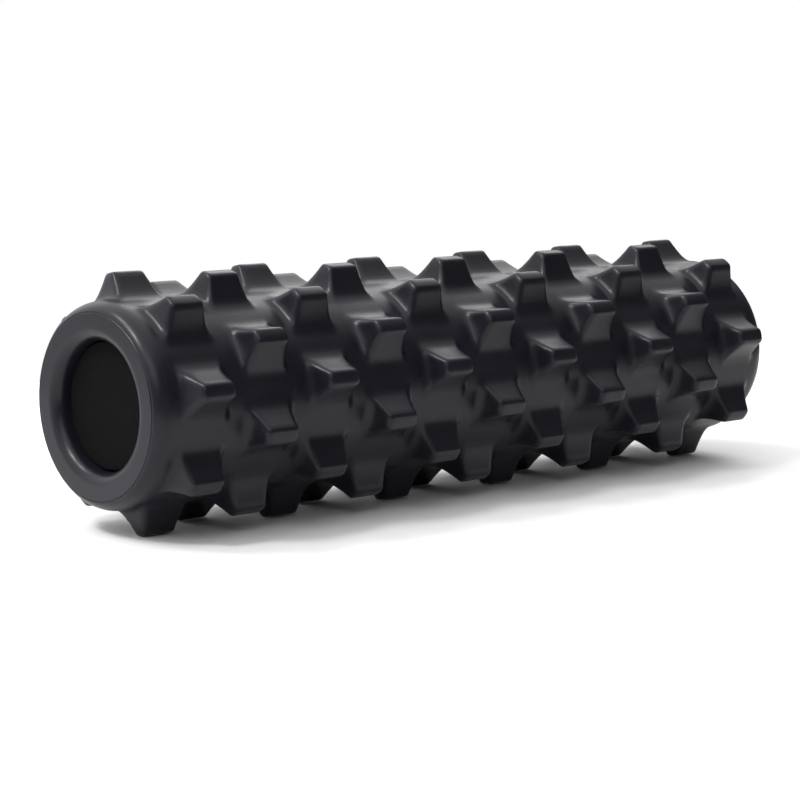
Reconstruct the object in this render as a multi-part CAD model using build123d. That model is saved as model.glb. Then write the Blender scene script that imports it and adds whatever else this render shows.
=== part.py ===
from build123d import *

import math
import os

# Knobbed foam roller: one moulded foam sleeve covered in knobs, glued round a solid foam core.
# Units are millimetres. The roller lies on the surface Z = 0, its axis along X and its middle at X = 0.
# Both solids are first built about the X axis and are then lifted until the lowest knobs touch Z = 0.

# Driving dimensions
LENGTH = 450.0  # end face to end face
TIP_DIAMETER = 130.0  # across the tops of opposite knobs
BODY_DIAMETER = 103.0  # the sleeve between the knobs
BORE_DIAMETER = 65.0  # the sleeve's bore, and the core that fills it
RECESS_DEPTH = 8.0  # from an end face down to the core
SHOULDER_LENGTH = 10.0  # along X, where each end of the sleeve curves in to its flat end face
SHOULDER_DROP = 6.0  # how far it curves in
LIP_ROUND = 6.0  # where an end face turns into the bore

# Knobs stand in rings round the sleeve, and each ring is turned by half a knob step from the next
RING_COUNT = 11
RING_PITCH = 39.5  # along X, from ring to ring
KNOBS_PER_RING = 8
EVEN_RING_TURN = 0.75  # of a knob step, from straight up to a ring's first knob
ODD_RING_TURN = 0.25  # with these two turns the roller rests on two rows of knobs
KNOB_TOP_LENGTH = 18.8  # along X
KNOB_TOP_WIDTH = 7.4  # round the roller
KNOB_FOOT_LENGTH = 27.0  # between the corners where the knob meets the sleeve
KNOB_FOOT_WIDTH = 25.0
KNOB_EDGE_ROUND = 1.4
KNOB_SINK = 5.0  # how far a knob's block reaches below its foot, to join the sleeve

# Worked out from the dimensions above
TIP_RADIUS = TIP_DIAMETER / 2
BODY_RADIUS = BODY_DIAMETER / 2
BORE_RADIUS = BORE_DIAMETER / 2
KNOB_FOOT_RADIUS = math.sqrt(BODY_RADIUS**2 - (KNOB_FOOT_WIDTH / 2) ** 2)  # height of the foot's corners
KNOB_HEIGHT = TIP_RADIUS - KNOB_FOOT_RADIUS
KNOB_STEP = 360 / KNOBS_PER_RING


def plain_sleeve():
    """The sleeve without its knobs: a thick tube with curved shoulders and a rounded lip at each end."""
    end = LENGTH / 2
    shoulder = end - SHOULDER_LENGTH
    face_radius = BODY_RADIUS - SHOULDER_DROP
    lip_radius = BORE_RADIUS + LIP_ROUND
    right_half = Curve() + [
        Line((0, BODY_RADIUS), (shoulder, BODY_RADIUS)),
        EllipticalCenterArc((shoulder, face_radius), SHOULDER_LENGTH, SHOULDER_DROP, 0, arc_size=90),
        Line((end, face_radius), (end, lip_radius)),
        CenterArc((end - LIP_ROUND, lip_radius), LIP_ROUND, -90, 90),
        Line((end - LIP_ROUND, BORE_RADIUS), (0, BORE_RADIUS)),
    ]
    outline = right_half + mirror(right_half, Plane.YZ)
    return revolve(make_face(outline), Axis.X)


def tapered_bar(top, foot, other_way, plane):
    """A bar with a trapezium for its section, from KNOB_SINK below the knob's foot up to its top."""
    spread = (foot - top) / 2 / KNOB_HEIGHT
    bottom = foot / 2 + spread * KNOB_SINK
    section = Polygon(
        (-bottom, KNOB_FOOT_RADIUS - KNOB_SINK),
        (bottom, KNOB_FOOT_RADIUS - KNOB_SINK),
        (top / 2, TIP_RADIUS),
        (-top / 2, TIP_RADIUS),
        align=None,
    )
    return extrude(plane * section, other_way, both=True)


def knob():
    """One knob standing up along Z at X = 0: four sloping sides, a flat top and rounded edges."""
    lengthwise = tapered_bar(KNOB_TOP_LENGTH, KNOB_FOOT_LENGTH, KNOB_FOOT_WIDTH, Plane.XZ)
    crosswise = tapered_bar(KNOB_TOP_WIDTH, KNOB_FOOT_WIDTH, KNOB_FOOT_LENGTH, Plane.YZ)
    block = lengthwise & crosswise
    foot_edges = block.edges().group_by(Axis.Z)[0]
    return fillet([edge for edge in block.edges() if edge not in foot_edges], KNOB_EDGE_ROUND)


def knobs():
    """All the knobs: ring after ring along X, with alternate rings turned by half a step."""
    pattern = knob()
    placed = []
    for ring in range(RING_COUNT):
        place = (ring - (RING_COUNT - 1) / 2) * RING_PITCH
        first = KNOB_STEP * (EVEN_RING_TURN if ring % 2 == 0 else ODD_RING_TURN)
        for number in range(KNOBS_PER_RING):
            placed.append(Pos(place, 0, 0) * Rot(first + KNOB_STEP * number, 0, 0) * pattern)
    return placed


def knobbed_sleeve():
    """The whole moulding: the tube and every knob as one solid."""
    return plain_sleeve() + knobs()


def foam_core():
    """The solid core, which ends short of both end faces."""
    return Rot(0, 90, 0) * Cylinder(BORE_RADIUS, LENGTH - 2 * RECESS_DEPTH)


sleeve = knobbed_sleeve()
axis_height = -sleeve.bounding_box().min.Z
print("height of the roller's axis above the floor:", round(axis_height, 3))

nodes = {"knobbed_sleeve": sleeve, "foam_core": foam_core()}
os.makedirs("parts", exist_ok=True)
for name, shape in nodes.items():
    export_step(Pos(0, 0, axis_height) * shape, f"parts/{name}.step")
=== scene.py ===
"""The knobbed foam roller as it looks: its moulded sleeve and its foam core, with a studio round them.

Lengths are metres and angles are radians, unless a comment says otherwise.
"""

import math

import bpy
import numpy as np
from mathutils import Matrix, Vector


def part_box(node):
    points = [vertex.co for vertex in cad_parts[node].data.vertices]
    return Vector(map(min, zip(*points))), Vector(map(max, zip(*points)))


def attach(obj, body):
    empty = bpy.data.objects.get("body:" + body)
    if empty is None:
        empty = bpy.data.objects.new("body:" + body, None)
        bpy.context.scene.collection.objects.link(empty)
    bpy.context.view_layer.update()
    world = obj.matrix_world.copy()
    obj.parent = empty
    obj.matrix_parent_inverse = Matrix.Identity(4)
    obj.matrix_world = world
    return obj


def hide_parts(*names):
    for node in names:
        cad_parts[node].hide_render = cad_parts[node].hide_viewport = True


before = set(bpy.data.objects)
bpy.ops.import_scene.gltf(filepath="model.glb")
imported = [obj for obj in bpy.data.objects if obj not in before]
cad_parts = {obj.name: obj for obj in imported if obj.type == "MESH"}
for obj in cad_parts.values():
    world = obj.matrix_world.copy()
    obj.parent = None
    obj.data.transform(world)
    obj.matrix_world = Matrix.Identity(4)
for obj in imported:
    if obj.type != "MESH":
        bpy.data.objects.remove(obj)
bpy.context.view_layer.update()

MM = 0.001

# The CAD boxes give the roller's length, the height of its axis, and the size of the core and its bore
sleeve_low, sleeve_high = (np.array(corner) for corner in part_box("knobbed_sleeve"))
core_low, core_high = (np.array(corner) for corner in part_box("foam_core"))
HALF_LENGTH = (sleeve_high[0] - sleeve_low[0]) / 2
AXIS_HEIGHT = (sleeve_high[2] + sleeve_low[2]) / 2
BORE_RADIUS = (core_high[2] - core_low[2]) / 2
CORE_HALF_LENGTH = (core_high[0] - core_low[0]) / 2

# The knob pattern
TIP_RADIUS = 65 * MM
BODY_RADIUS = 51.5 * MM
RING_COUNT = 11
RING_PITCH = 39.5 * MM
KNOBS_PER_RING = 8
KNOB_STEP = 2 * math.pi / KNOBS_PER_RING
EVEN_RING_TURN = 0.75  # of a knob step, from straight up to a ring's first knob
ODD_RING_TURN = 0.25

# One knob, with half lengths along the roller and half widths round it
TOP_HALF_LENGTH = 9.4 * MM
TOP_HALF_WIDTH = 3.7 * MM
FOOT_HALF_LENGTH = 13.5 * MM
FOOT_HALF_WIDTH = 12.5 * MM
FOOT_RADIUS = math.sqrt(BODY_RADIUS**2 - FOOT_HALF_WIDTH**2)  # height of the foot's corners over the axis
EDGE_ROUND = 1.4 * MM  # round the top
CORNER_ROUND = 2.2 * MM  # down the four corners
CREASE_ROUND = 3.0 * MM  # where the flanks run into the sleeve
FLANK_HOLLOW = 0.35 * MM  # how far the middle of a flank sinks

# The ends
SHOULDER_LENGTH = 10.0 * MM
SHOULDER_DROP = 6.0 * MM
LIP_ROUND = 6.0 * MM
WITNESS_RADIUS = 46.2 * MM  # a fine groove that the mould leaves round the end face
WITNESS_WIDTH = 0.8 * MM
WITNESS_DEPTH = 0.5 * MM
BORE_UNDERLAP = 2 * MM  # from the core's face in to the mesh's last row, which joins the other end's

# Mesh density of one knob's cell, which reaches half way to the knobs round it
CELL_STEPS_X = 30
CELL_STEPS_TURN = 28
ARC_STEPS = 14  # along the shoulder's curve, and along the lip's

# How uneven the moulding is: depth, wave length and seed, for each of two sizes of wave
SLEEVE_WAVES = [(0.10 * MM, 45 * MM, 3), (0.04 * MM, 14 * MM, 4)]

# The core's ends
CORE_GAP = 0.9 * MM  # between the rim and the sleeve
CORE_RIM = 0.8 * MM  # how far the rim is rounded
CORE_STEP = 4.0 * MM  # how far in the core starts to widen, to meet the sleeve
CORE_STEP_LENGTH = 0.5 * MM  # over which it widens
CORE_CLEARANCE = 0.05 * MM  # what is then left between it and the bore
CORE_DIPS = [(0.12 * MM, 22 * MM, 8), (0.05 * MM, 5 * MM, 9)]  # depth, wave length and seed


# ---------------------------------------------------------------- mesh helpers

def make_piece(name, points, faces):
    """A smooth-shaded mesh object."""
    mesh = bpy.data.meshes.new(name)
    mesh.from_pydata([tuple(point) for point in points], [], [tuple(face) for face in faces])
    mesh.validate()
    mesh.update()
    mesh.shade_smooth()
    piece = bpy.data.objects.new(name, mesh)
    bpy.context.scene.collection.objects.link(piece)
    return piece


def circle(x, radius, turns):
    """Points round the roller's axis, which is still at height 0, at a place along it."""
    return np.stack([np.full(len(turns), x), -radius * np.sin(turns), radius * np.cos(turns)], axis=1)


def quad(row, after, column, columns):
    """The face between two rows of points, from one column to the next."""
    beside = (column + 1) % columns
    return (
        row * columns + column,
        row * columns + beside,
        after * columns + beside,
        after * columns + column,
    )


def ripple(points, scale, seed):
    """Smooth noise at each point, mostly between -1 and 1: a few seeded waves of about the given length."""
    draws = np.random.default_rng(seed)
    total = np.zeros(len(points))
    waves = 9
    softening = 1.5
    for _ in range(waves):
        direction = draws.normal(size=3)
        direction /= np.linalg.norm(direction)
        length = scale * draws.uniform(0.7, 1.6)
        total += np.sin(points @ direction * 2 * math.pi / length + draws.uniform(0, 2 * math.pi))
    return total / math.sqrt(waves) / softening


# ---------------------------------------------------------------- the shape of the sleeve

def rounded_inside(distances, radius):
    """Where several half spaces meet: their signed distances as one, with edges of the given radius."""
    over = np.maximum(np.array(distances) + radius, 0)
    return np.minimum(np.max(distances, axis=0), -radius) + np.sqrt((over**2).sum(axis=0))


def rounded_union(one, other, radius):
    """Where two solids join: their signed distances as one, with a fillet of the given radius."""
    under = np.maximum(radius - np.array([one, other]), 0)
    return np.maximum(np.minimum(one, other), radius) - np.sqrt((under**2).sum(axis=0))


def knob_distance(along, across, up):
    """Signed distance from one knob's surface. The knob stands along up, over the roller's axis."""
    height = TIP_RADIUS - FOOT_RADIUS
    spread_x = (FOOT_HALF_LENGTH - TOP_HALF_LENGTH) / height
    spread_turn = (FOOT_HALF_WIDTH - TOP_HALF_WIDTH) / height
    drop = TIP_RADIUS - up
    hollow = FLANK_HOLLOW * np.sin(np.clip(drop / height, 0, 1) * math.pi)
    end_flank = (np.abs(along) - TOP_HALF_LENGTH - spread_x * drop) / math.hypot(1, spread_x) + hollow
    side_flank = (np.abs(across) - TOP_HALF_WIDTH - spread_turn * drop) / math.hypot(1, spread_turn)
    side_flank += hollow
    flanks = rounded_inside([end_flank, side_flank], CORNER_ROUND)
    return rounded_inside([-drop, flanks], EDGE_ROUND)


def surface_radius(along, turn):
    """How far the sleeve's surface is from the axis, at places in a knob's cell. It is found by halving."""
    halvings = 34
    low = np.full(along.shape, BODY_RADIUS * 0.97)
    high = np.full(along.shape, TIP_RADIUS * 1.1)
    for _ in range(halvings):
        radius = (low + high) / 2
        knob = knob_distance(along, radius * np.sin(turn), radius * np.cos(turn))
        outside = rounded_union(knob, radius - BODY_RADIUS, CREASE_ROUND) > 0
        high = np.where(outside, radius, high)
        low = np.where(outside, low, radius)
    return (low + high) / 2


def crowded(steps, half_width, crowd_at, crowd_width, strength):
    """Places from -half_width to half_width, closer together round each place in crowd_at and its mirror."""
    samples = 2000
    fine = np.linspace(0, half_width, samples)
    density = np.ones_like(fine)
    for place, width in zip(crowd_at, crowd_width):
        density += strength * np.exp(-(((fine - place) / width) ** 2))
    total = np.concatenate([[0], np.cumsum((density[1:] + density[:-1]) / 2)])
    half = np.interp(np.linspace(0, total[-1], steps // 2 + 1), total, fine)
    return np.concatenate([-half[:0:-1], half])


def knob_cell():
    """The grid of one knob's cell: place along X, turn round the axis, and radius, as three arrays."""
    along = crowded(
        CELL_STEPS_X,
        RING_PITCH / 2,
        crowd_at=[TOP_HALF_LENGTH, FOOT_HALF_LENGTH],
        crowd_width=[1.6 * MM, 2.2 * MM],
        strength=3.0,
    )
    edge_turn = math.atan2(TOP_HALF_WIDTH, TIP_RADIUS)
    foot_turn = math.atan2(FOOT_HALF_WIDTH + 1.0 * MM, BODY_RADIUS)
    knob_turns = crowded(
        CELL_STEPS_TURN,
        KNOB_STEP / 2,
        crowd_at=[edge_turn, foot_turn],
        crowd_width=[math.radians(1.6), math.radians(2.4)],
        strength=2.2,
    )
    even_turns = np.linspace(-KNOB_STEP / 2, KNOB_STEP / 2, CELL_STEPS_TURN + 1)
    # Cells of neighbouring rings meet half a step out of line, so there the lines are evenly spaced
    apart = np.clip((np.abs(along) - FOOT_HALF_LENGTH) / (RING_PITCH / 2 - FOOT_HALF_LENGTH), 0, 1)
    ease = (apart * apart * (3 - 2 * apart))[:, None]
    turns = knob_turns[None, :] * (1 - ease) + even_turns[None, :] * ease
    alongs = np.repeat(along[:, None], CELL_STEPS_TURN + 1, axis=1)
    return alongs, turns, surface_radius(alongs, turns)


def body_radius(x):
    """The sleeve's radius between its knobs, which falls off over the shoulders."""
    into = np.clip(np.abs(x) - (HALF_LENGTH - SHOULDER_LENGTH), 0, SHOULDER_LENGTH) / SHOULDER_LENGTH
    return BODY_RADIUS - SHOULDER_DROP * (1 - np.sqrt(1 - into**2))


def end_profile():
    """The sleeve's outline past the last cell: (x, radius) pairs from the shoulder round to the bore."""
    shoulder = HALF_LENGTH - SHOULDER_LENGTH
    face_radius = BODY_RADIUS - SHOULDER_DROP
    start = math.asin((RING_COUNT / 2 * RING_PITCH - shoulder) / SHOULDER_LENGTH)
    stop = math.acos((WITNESS_RADIUS + WITNESS_WIDTH - face_radius) / SHOULDER_DROP)
    pairs = [
        (shoulder + SHOULDER_LENGTH * math.sin(angle), face_radius + SHOULDER_DROP * math.cos(angle))
        for angle in np.linspace(start, stop, ARC_STEPS)[1:]
    ]
    for part in (1.0, 0.5, 0.2, -0.2, -0.5, -1.0):  # across the witness groove
        radius = WITNESS_RADIUS + part * WITNESS_WIDTH / 2
        surface = shoulder + SHOULDER_LENGTH * math.sqrt(1 - ((radius - face_radius) / SHOULDER_DROP) ** 2)
        pairs.append((surface - WITNESS_DEPTH * math.sqrt(1 - abs(part)), radius))
    pairs.append((HALF_LENGTH, face_radius))
    flat_low = BORE_RADIUS + LIP_ROUND
    bore_start = HALF_LENGTH - LIP_ROUND
    for part in (0.75, 0.5, 0.25, 0.0):
        pairs.append((HALF_LENGTH, flat_low + part * (face_radius - flat_low)))
    for step in range(1, ARC_STEPS + 1):
        angle = math.pi / 2 * step / ARC_STEPS
        pairs.append((
            bore_start + LIP_ROUND * math.cos(angle),
            flat_low - LIP_ROUND * math.sin(angle),
        ))
    for part in (0.4, 0.8):
        pairs.append((bore_start - part * (bore_start - CORE_HALF_LENGTH), BORE_RADIUS))
    pairs.append((CORE_HALF_LENGTH - BORE_UNDERLAP, BORE_RADIUS))
    return pairs


def build_sleeve():
    """The whole moulding as one closed mesh: rows of points round the axis, joined row to row."""
    alongs, turns, radii = knob_cell()
    rows = []
    for ring in range(RING_COUNT):
        middle = (ring - (RING_COUNT - 1) / 2) * RING_PITCH
        first = KNOB_STEP * (EVEN_RING_TURN if ring % 2 == 0 else ODD_RING_TURN)
        start = 0 if ring == 0 else 1
        shift = 0 if ring % 2 == 0 else -(CELL_STEPS_TURN // 2)
        for line in range(start, CELL_STEPS_X + 1):
            turn = np.concatenate([turns[line, :-1] + first + KNOB_STEP * n for n in range(KNOBS_PER_RING)])
            x = middle + alongs[line, 0]
            radius = np.tile(radii[line, :-1], KNOBS_PER_RING) + body_radius(x) - BODY_RADIUS
            # Odd rings start half a cell earlier, and are rolled back so that point 0 is in line in every row
            rows.append((x, np.roll(turn, shift), np.roll(radius, shift)))
    first_turns = rows[0][1]
    profile = end_profile()
    left = [(-x, first_turns, np.full(first_turns.shape, radius)) for x, radius in reversed(profile)]
    right = [(x, first_turns, np.full(first_turns.shape, radius)) for x, radius in profile]
    rows = left + rows + right

    columns = len(first_turns)
    points = np.concatenate([circle(x, radius, turn) for x, turn, radius in rows])
    outward = points * [0, 1, 1]
    outward /= np.linalg.norm(outward, axis=1)[:, None]
    uneven = sum(depth * ripple(points, scale, seed) for depth, scale, seed in SLEEVE_WAVES)
    inside_bore = np.linalg.norm(points[:, 1:], axis=1) < BORE_RADIUS + LIP_ROUND
    points = points - outward * (np.abs(uneven) * ~inside_bore)[:, None]
    points[:, 2] += AXIS_HEIGHT

    row_count = len(rows)
    faces = [
        quad(row, (row + 1) % row_count, column, columns)
        for row in range(row_count)
        for column in range(columns)
    ]
    return make_piece("moulded_sleeve", points, faces)


def build_core():
    """The foam core: a bar with two cut ends, a softened rim and a fine gap to the sleeve at each end."""
    columns = 192
    face_steps = 26
    rim_steps = 5
    face_radius = BORE_RADIUS - CORE_GAP - CORE_RIM
    pairs = [(CORE_HALF_LENGTH, face_radius * step / face_steps) for step in range(1, face_steps + 1)]
    for step in range(1, rim_steps + 1):
        angle = math.pi / 2 * step / rim_steps
        pairs.append((
            CORE_HALF_LENGTH - CORE_RIM + CORE_RIM * math.cos(angle),
            face_radius + CORE_RIM * math.sin(angle),
        ))
    pairs.append((CORE_HALF_LENGTH - CORE_STEP, BORE_RADIUS - CORE_GAP))
    pairs.append((CORE_HALF_LENGTH - CORE_STEP - CORE_STEP_LENGTH, BORE_RADIUS - CORE_CLEARANCE))
    outline = [(-x, radius) for x, radius in pairs] + [(x, radius) for x, radius in reversed(pairs)]

    turns = np.linspace(0, 2 * math.pi, columns, endpoint=False)
    poles = np.array([[-CORE_HALF_LENGTH, 0, 0], [CORE_HALF_LENGTH, 0, 0]])
    points = np.concatenate([circle(x, radius, turns) for x, radius in outline] + [poles])
    # A cut through foam is never quite flat: it dips a little, here and there
    dip = sum(depth * np.abs(ripple(points, scale, seed)) for depth, scale, seed in CORE_DIPS)
    points[:, 0] -= np.sign(points[:, 0]) * dip
    points[:, 2] += AXIS_HEIGHT

    faces = []
    left_pole, right_pole = len(points) - 2, len(points) - 1
    last = (len(outline) - 1) * columns
    for column in range(columns):
        beside = (column + 1) % columns
        faces.append((left_pole, beside, column))
        faces.append((right_pole, last + column, last + beside))
        for row in range(len(outline) - 1):
            faces.append(quad(row, row + 1, column, columns))
    return make_piece("cut_foam_core", points, faces)


# ---------------------------------------------------------------- materials

# Colours, as linear red, green and blue
SKIN_DARK = (0.0068, 0.0067, 0.0112)
SKIN_PALE = (0.0096, 0.0094, 0.0152)
SCUFFED = (0.030, 0.030, 0.033)
CORE_DARK = (0.0024, 0.0024, 0.0028)
CORE_PALE = (0.0044, 0.0044, 0.0050)
FLOOR_WHITE = (0.90, 0.90, 0.90)


class Nodes:
    """A short way to add nodes to one material and to join them."""

    def __init__(self, name):
        self.material = bpy.data.materials.new(name)
        self.material.use_nodes = True
        self.tree = self.material.node_tree
        self.shader = self.tree.nodes["Principled BSDF"]
        self.place = self.add("ShaderNodeTexCoord").outputs["Object"]

    def add(self, kind, **settings):
        node = self.tree.nodes.new(kind)
        for setting, value in settings.items():
            setattr(node, setting, value)
        return node

    def join(self, output, socket):
        self.tree.links.new(output, socket)

    def noise(self, size, detail=2.0, roughness=0.5):
        """Noise with features of about the given size."""
        node = self.add("ShaderNodeTexNoise")
        node.inputs["Scale"].default_value = 1 / size
        node.inputs["Detail"].default_value = detail
        node.inputs["Roughness"].default_value = roughness
        self.join(self.place, node.inputs["Vector"])
        return node.outputs["Fac"]

    def cells(self, size):
        """Distance to the nearest cell's middle, for cells of about the given size."""
        node = self.add("ShaderNodeTexVoronoi")
        node.inputs["Scale"].default_value = 1 / size
        self.join(self.place, node.inputs["Vector"])
        return node.outputs["Distance"]

    def span(self, value, low, high, to_low, to_high):
        """The value, stretched from one span to another and held inside it."""
        node = self.add("ShaderNodeMapRange")
        for socket, number in zip(("From Min", "From Max", "To Min", "To Max"), (low, high, to_low, to_high)):
            node.inputs[socket].default_value = number
        self.join(value, node.inputs["Value"])
        return node.outputs["Result"]

    def blend(self, factor, one, other):
        """A colour between two, where each is a tuple or another node's output."""
        node = self.add("ShaderNodeMix", data_type="RGBA")
        self.join(factor, node.inputs["Factor"])
        for socket, colour in (("A", one), ("B", other)):
            entry = next(item for item in node.inputs if item.name == socket and item.type == "RGBA")
            if isinstance(colour, tuple):
                entry.default_value = (*colour, 1)
            else:
                self.join(colour, entry)
        return next(item for item in node.outputs if item.type == "RGBA")

    def sum(self, one, other):
        node = self.add("ShaderNodeMath", operation="ADD")
        self.join(one, node.inputs[0])
        self.join(other, node.inputs[1])
        return node.outputs["Value"]

    def bump(self, height, distance, strength, under=None):
        """A bump of the given real depth, laid over another bump where one is given."""
        node = self.add("ShaderNodeBump")
        node.inputs["Strength"].default_value = strength
        node.inputs["Distance"].default_value = distance
        self.join(height, node.inputs["Height"])
        if under is not None:
            self.join(under, node.inputs["Normal"])
        return node.outputs["Normal"]


def moulded_foam():
    """Black foam with a satin moulded skin: a fine grain, faint scuffs, and cloudy patches of shine."""
    nodes = Nodes("moulded_foam")
    clouds = nodes.noise(38 * MM, detail=3)
    patches = nodes.noise(9 * MM, detail=4, roughness=0.6)
    grain = nodes.noise(0.55 * MM, detail=2)
    orange_peel = nodes.noise(2.6 * MM, detail=2)
    scuffs = nodes.span(nodes.noise(3.5 * MM, detail=6, roughness=0.72), 0.60, 0.74, 0, 1)

    colour = nodes.blend(nodes.span(clouds, 0.35, 0.65, 0, 1), SKIN_DARK, SKIN_PALE)
    colour = nodes.blend(nodes.span(scuffs, 0, 1, 0, 0.35), colour, SCUFFED)
    nodes.join(colour, nodes.shader.inputs["Base Color"])

    shine = nodes.span(patches, 0.3, 0.7, 0.28, 0.34)
    shine = nodes.sum(shine, nodes.span(scuffs, 0, 1, 0, 0.10))
    nodes.join(shine, nodes.shader.inputs["Roughness"])
    nodes.shader.inputs["Specular IOR Level"].default_value = 0.27

    skin = nodes.bump(orange_peel, 0.05 * MM, 0.5)
    nodes.join(nodes.bump(grain, 0.02 * MM, 0.5, under=skin), nodes.shader.inputs["Normal"])
    return nodes.material


def cut_foam():
    """The core's dull cut foam: open cells of two sizes, a slightly uneven black, and no shine."""
    nodes = Nodes("core_foam")
    cells = nodes.cells(0.9 * MM)
    fine_cells = nodes.cells(0.4 * MM)
    clouds = nodes.noise(16 * MM, detail=4, roughness=0.6)

    colour = nodes.blend(nodes.span(clouds, 0.3, 0.7, 0, 1), CORE_DARK, CORE_PALE)
    nodes.join(colour, nodes.shader.inputs["Base Color"])
    nodes.join(nodes.span(clouds, 0.3, 0.7, 0.82, 0.95), nodes.shader.inputs["Roughness"])
    nodes.shader.inputs["Specular IOR Level"].default_value = 0.07

    wide = nodes.bump(cells, 0.20 * MM, 0.6)
    nodes.join(nodes.bump(fine_cells, 0.08 * MM, 0.6, under=wide), nodes.shader.inputs["Normal"])
    return nodes.material


# ---------------------------------------------------------------- the roller

def fit_out(piece, node, material):
    """Give a foam piece its material, hide the CAD node it stands for, and hang it under the root body."""
    piece.data.materials.append(material)
    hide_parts(node)
    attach(piece, "root")


fit_out(build_sleeve(), "knobbed_sleeve", moulded_foam())
fit_out(build_core(), "foam_core", cut_foam())


# ---------------------------------------------------------------- the studio

CAMERA_AZIMUTH = math.radians(-42.91)
CAMERA_ELEVATION = math.radians(7.87)
CAMERA_ROLL = math.radians(0.74)  # the picture is turned this far clockwise
CAMERA_DISTANCE = 1.3067
CAMERA_LENS = 107.47  # in millimetres, as is the sensor's width
SENSOR_WIDTH = 36
AIM_RIGHT = -17.1 * MM  # from the roller's middle to the middle of the view
AIM_UP = -15.2 * MM

# The pale table top under the roller
TABLE_HALF_LENGTH = 0.8
TABLE_HALF_WIDTH = 0.5

# The wide soft panel that lights everything, and the dim room round it
PANEL_DIRECTION = (-0.25, 0.45, 0.85)
PANEL_STRENGTH = 2.0
ROOM_STRENGTH = 0.15
PANEL_EDGE = 0.10  # cosine of the angle from the panel's direction to where it fades into the room
PANEL_FULL = 0.80  # the same, to where it reaches its full strength

# A smaller, sharper light from high on the left, a little behind the roller
KEY_DIRECTION = (-0.42, 0.37, 0.82)
KEY_STRENGTH = 0.6
KEY_WIDTH = math.radians(7)

# Square soft lights: name, direction from the roller, distance, size in metres and power in watts
SOFTBOXES = [
    ("strip", (-0.75, 0.05, 0.75), 1.3, 0.18, 6),
    ("fill", (-1.0, -0.9, 0.9), 1.8, 0.9, 4),
    ("right", (0.8, 0.7, 0.7), 1.8, 0.9, 4),
]


def add_camera():
    back = Vector((
        math.sin(CAMERA_AZIMUTH) * math.cos(CAMERA_ELEVATION),
        -math.cos(CAMERA_AZIMUTH) * math.cos(CAMERA_ELEVATION),
        math.sin(CAMERA_ELEVATION),
    ))
    level = Vector((math.cos(CAMERA_AZIMUTH), math.sin(CAMERA_AZIMUTH), 0))
    right = level * math.cos(CAMERA_ROLL) + back.cross(level) * math.sin(CAMERA_ROLL)
    up = back.cross(right)
    data = bpy.data.cameras.new("camera")
    data.sensor_width = SENSOR_WIDTH
    data.lens = CAMERA_LENS
    camera = bpy.data.objects.new("camera", data)
    camera.location = Vector((0, 0, AXIS_HEIGHT)) + right * AIM_RIGHT + up * AIM_UP + back * CAMERA_DISTANCE
    camera.rotation_mode = "QUATERNION"
    camera.rotation_quaternion = Matrix((right, up, back)).transposed().to_quaternion()
    bpy.context.scene.collection.objects.link(camera)
    bpy.context.scene.camera = camera


def turned_from(direction):
    """The rotation of a light that shines from the given direction towards the roller."""
    return (-Vector(direction)).to_track_quat("-Z", "Y")


def add_key_light():
    """The light that makes the edges crisp."""
    data = bpy.data.lights.new("key", "SUN")
    data.energy = KEY_STRENGTH
    data.angle = KEY_WIDTH
    light = bpy.data.objects.new("key", data)
    light.rotation_mode = "QUATERNION"
    light.rotation_quaternion = turned_from(KEY_DIRECTION)
    bpy.context.scene.collection.objects.link(light)


def add_softbox(name, direction, distance, size, power):
    """A square soft light that faces the roller from the given direction."""
    data = bpy.data.lights.new(name, "AREA")
    data.size = size
    data.energy = power
    light = bpy.data.objects.new(name, data)
    light.location = Vector((0, 0, AXIS_HEIGHT)) + Vector(direction).normalized() * distance
    light.rotation_mode = "QUATERNION"
    light.rotation_quaternion = turned_from(direction)
    bpy.context.scene.collection.objects.link(light)


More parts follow.
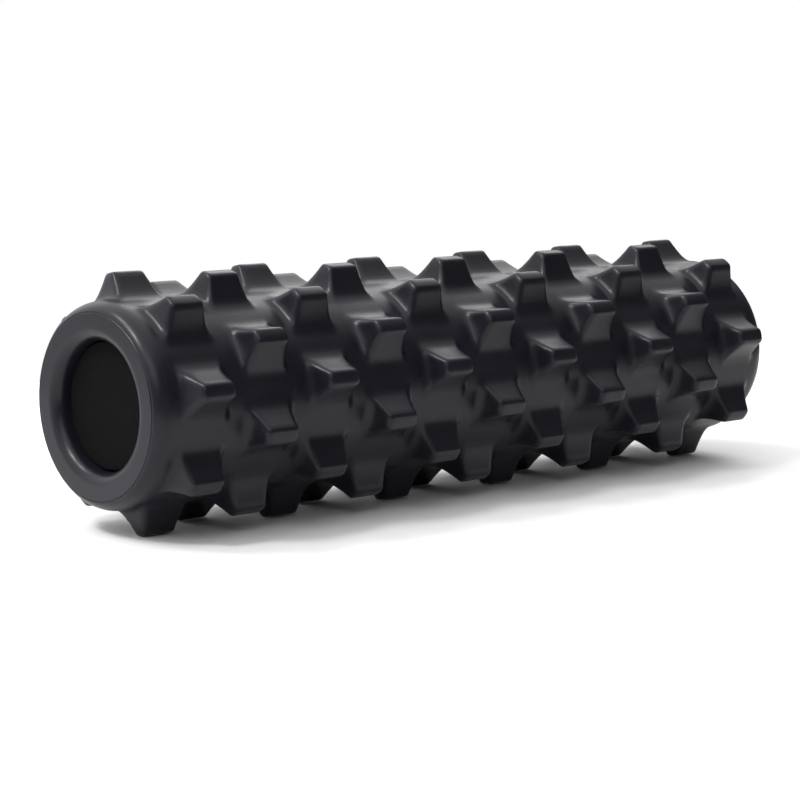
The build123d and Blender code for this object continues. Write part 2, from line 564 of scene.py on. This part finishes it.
def add_floor():
    """A pale table top. It ends not far from the roller, so the knobs' sides mirror the dim room past it."""
    x, y = TABLE_HALF_LENGTH, TABLE_HALF_WIDTH
    mesh = bpy.data.meshes.new("floor")
    mesh.from_pydata([(-x, -y, 0), (x, -y, 0), (x, y, 0), (-x, y, 0)], [], [(0, 1, 2, 3)])
    floor = bpy.data.objects.new("floor", mesh)
    bpy.context.scene.collection.objects.link(floor)
    material = bpy.data.materials.new("floor")
    material.use_nodes = True
    shader = material.node_tree.nodes["Principled BSDF"]
    shader.inputs["Base Color"].default_value = (*FLOOR_WHITE, 1)
    shader.inputs["Roughness"].default_value = 0.6
    mesh.materials.append(material)


def set_world():
    """A white backdrop to look at, in a dim room lit by one wide soft panel overhead and a little behind."""
    world = bpy.data.worlds.new("studio")
    world.use_nodes = True
    tree = world.node_tree
    seen = tree.nodes["Background"]
    seen.inputs["Color"].default_value = (1, 1, 1, 1)
    seen.inputs["Strength"].default_value = 1.0

    place = tree.nodes.new("ShaderNodeTexCoord")
    facing = tree.nodes.new("ShaderNodeVectorMath")
    facing.operation = "DOT_PRODUCT"
    facing.inputs[1].default_value = Vector(PANEL_DIRECTION).normalized()
    panel = tree.nodes.new("ShaderNodeMapRange")
    panel.interpolation_type = "SMOOTHSTEP"
    panel.inputs["From Min"].default_value = PANEL_EDGE
    panel.inputs["From Max"].default_value = PANEL_FULL
    panel.inputs["To Min"].default_value = ROOM_STRENGTH
    panel.inputs["To Max"].default_value = PANEL_STRENGTH
    felt = tree.nodes.new("ShaderNodeBackground")
    tree.links.new(place.outputs["Generated"], facing.inputs[0])
    tree.links.new(facing.outputs["Value"], panel.inputs["Value"])
    tree.links.new(panel.outputs["Result"], felt.inputs["Strength"])

    choice = tree.nodes.new("ShaderNodeMixShader")
    path = tree.nodes.new("ShaderNodeLightPath")
    tree.links.new(path.outputs["Is Camera Ray"], choice.inputs[0])
    tree.links.new(felt.outputs[0], choice.inputs[1])
    tree.links.new(seen.outputs[0], choice.inputs[2])
    tree.links.new(choice.outputs[0], tree.nodes["World Output"].inputs["Surface"])
    bpy.context.scene.world = world
    bpy.context.scene.view_settings.view_transform = "Standard"


add_camera()
add_floor()
set_world()
add_key_light()
for softbox in SOFTBOXES:
    add_softbox(*softbox)
